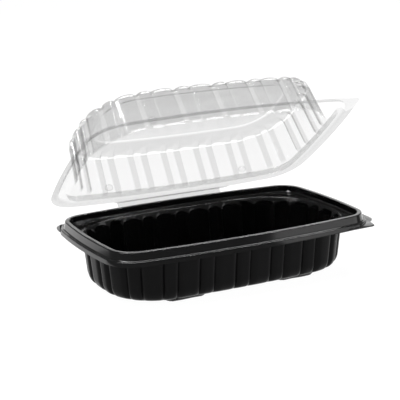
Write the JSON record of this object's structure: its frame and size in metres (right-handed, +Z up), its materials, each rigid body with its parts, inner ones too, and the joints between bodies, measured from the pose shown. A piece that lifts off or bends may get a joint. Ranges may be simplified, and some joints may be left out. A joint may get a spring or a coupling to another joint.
{
  "type": "meal container",
  "caption": "Shallow fluted takeaway tray with a fluted clear dome lid, joined along the back by a folding plastic strap; the lid stands part open.",
  "frame": {"origin": "middle of the tray's flat base, on the table", "axes": "+X along the long sides, -Y towards the front where the lid opens, +Z up; the hinge is on the +Y side"},
  "size_m": [0.2342, 0.1489, 0.1522],
  "materials": {
    "tray_plastic": "smooth black polypropylene sheet, softly glossy",
    "clear_plastic": "clear thermoformed sheet, glossy"
  },
  "bodies": {
    "tray": {"tray": "tray_plastic", "hinge_strap": "clear_plastic"},
    "lid": {"lid": "clear_plastic"}
  },
  "joints": [
    {"name": "lid_hinge", "type": "hinge", "parent": "tray", "child": "lid", "pos_m": [0, 0.079, 0.0462], "axis": [-1, 0, 0], "range_deg": [-38.15, 141.85]}
  ]
}
